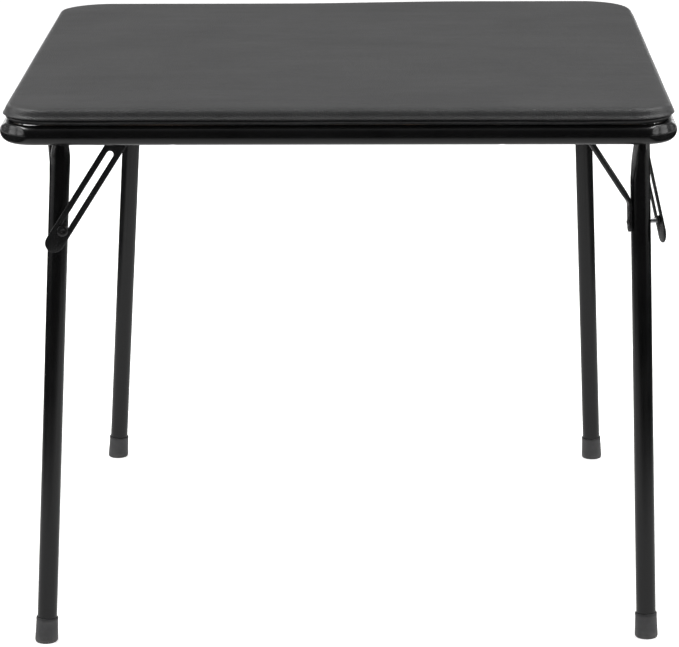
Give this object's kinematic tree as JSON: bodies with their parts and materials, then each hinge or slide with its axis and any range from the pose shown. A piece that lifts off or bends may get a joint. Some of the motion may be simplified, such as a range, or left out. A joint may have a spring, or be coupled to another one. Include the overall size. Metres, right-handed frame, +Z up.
{
  "type": "folding card table",
  "caption": "Square card table with a padded vinyl top on a bent tube rail, four splayed folding tube legs with slotted stays, side braces and rubber feet.",
  "frame": {"origin": "floor level, under the middle of the table top", "axes": "+Z up; -Y towards the front edge; +X to the right of someone facing the front"},
  "size_m": [0.851, 0.8512, 0.705],
  "materials": {
    "vinyl": "soft satin vinyl with fine pebble grain",
    "foam": "open-cell foam",
    "board": "raw pressed board",
    "zinc_wire": "bright wire",
    "black_fastener": "black zinc",
    "black_tube": "semi-gloss black powder coat",
    "black_hardware": "semi-gloss black paint",
    "foot_rubber": "matte moulded rubber"
  },
  "bodies": {
    "tabletop": {"vinyl_cover": "vinyl", "foam_pad": "foam", "top_board": "board", "cover_staples": "zinc_wire", "frame_rail": "black_tube", "rail_screws": "black_fastener", "bracket_screws": "black_fastener", "front_left_bracket": "black_hardware", "front_left_pivot_rod": "black_hardware", "front_left_stay_rivet": "black_hardware", "front_right_bracket": "black_hardware", "front_right_pivot_rod": "black_hardware", "front_right_stay_rivet": "black_hardware", "back_right_bracket": "black_hardware", "back_right_pivot_rod": "black_hardware", "back_right_stay_rivet": "black_hardware", "back_left_bracket": "black_hardware", "back_left_pivot_rod": "black_hardware", "back_left_stay_rivet": "black_hardware"},
    "front_left_leg_assembly": {"front_left_leg": "black_tube", "front_left_foot_cap": "foot_rubber", "front_left_side_brace": "black_hardware", "front_left_stay_stud": "black_hardware"},
    "front_left_stay": {"front_left_slotted_stay": "black_hardware"},
    "front_right_leg_assembly": {"front_right_leg": "black_tube", "front_right_foot_cap": "foot_rubber", "front_right_side_brace": "black_hardware", "front_right_stay_stud": "black_hardware"},
    "front_right_stay": {"front_right_slotted_stay": "black_hardware"},
    "back_right_leg_assembly": {"back_right_leg": "black_tube", "back_right_foot_cap": "foot_rubber", "back_right_side_brace": "black_hardware", "back_right_stay_stud": "black_hardware"},
    "back_right_stay": {"back_right_slotted_stay": "black_hardware"},
    "back_left_leg_assembly": {"back_left_leg": "black_tube", "back_left_foot_cap": "foot_rubber", "back_left_side_brace": "black_hardware", "back_left_stay_stud": "black_hardware"},
    "back_left_stay": {"back_left_slotted_stay": "black_hardware"}
  },
  "joints": [
    {"name": "front_left_leg_fold", "type": "hinge", "parent": "tabletop", "child": "front_left_leg_assembly", "pos_m": [-0.3488, -0.383, 0.662], "axis": [0.2923, -0.956, 0.0244], "range_deg": [0, 93.4]},
    {"name": "front_left_stay_swing", "type": "hinge", "parent": "tabletop", "child": "front_left_stay", "pos_m": [-0.27258, -0.38604, 0.66262], "axis": [0.2923, -0.956, 0.0244], "range_deg": [0, 124.4]},
    {"name": "front_right_leg_fold", "type": "hinge", "parent": "tabletop", "child": "front_right_leg_assembly", "pos_m": [0.3806, -0.352, 0.662], "axis": [0.9563, 0.2924, 0.0087], "range_deg": [0, 93.68]},
    {"name": "front_right_stay_swing", "type": "hinge", "parent": "tabletop", "child": "front_right_stay", "pos_m": [0.38365, -0.27578, 0.66222], "axis": [0.9563, 0.2924, 0.0087], "range_deg": [0, 124.6]},
    {"name": "back_right_leg_fold", "type": "hinge", "parent": "tabletop", "child": "back_right_leg_assembly", "pos_m": [0.3472, 0.3748, 0.662], "axis": [-0.2922, 0.9558, 0.0314], "range_deg": [0, 92.98]},
    {"name": "back_right_stay_swing", "type": "hinge", "parent": "tabletop", "child": "back_right_stay", "pos_m": [0.27098, 0.37784, 0.66279], "axis": [-0.2922, 0.9558, 0.0314], "range_deg": [0, 124.1]},
    {"name": "back_left_leg_fold", "type": "hinge", "parent": "tabletop", "child": "back_left_leg_assembly", "pos_m": [-0.3114, 0.374, 0.662], "axis": [-0.998, 0, 0.0637], "range_deg": [0, 93.2]},
    {"name": "back_left_stay_swing", "type": "hinge", "parent": "tabletop", "child": "back_left_stay", "pos_m": [-0.33655, 0.302, 0.6636], "axis": [-0.998, 0, 0.0637], "range_deg": [0, 124.26]}
  ],
  "couplings": [
    {"joint": "front_left_stay_swing", "follows": "front_left_leg_fold", "ratio": 1.3318},
    {"joint": "front_right_stay_swing", "follows": "front_right_leg_fold", "ratio": 1.3299},
    {"joint": "back_right_stay_swing", "follows": "back_right_leg_fold", "ratio": 1.3346},
    {"joint": "back_left_stay_swing", "follows": "back_left_leg_fold", "ratio": 1.3331}
  ]
}
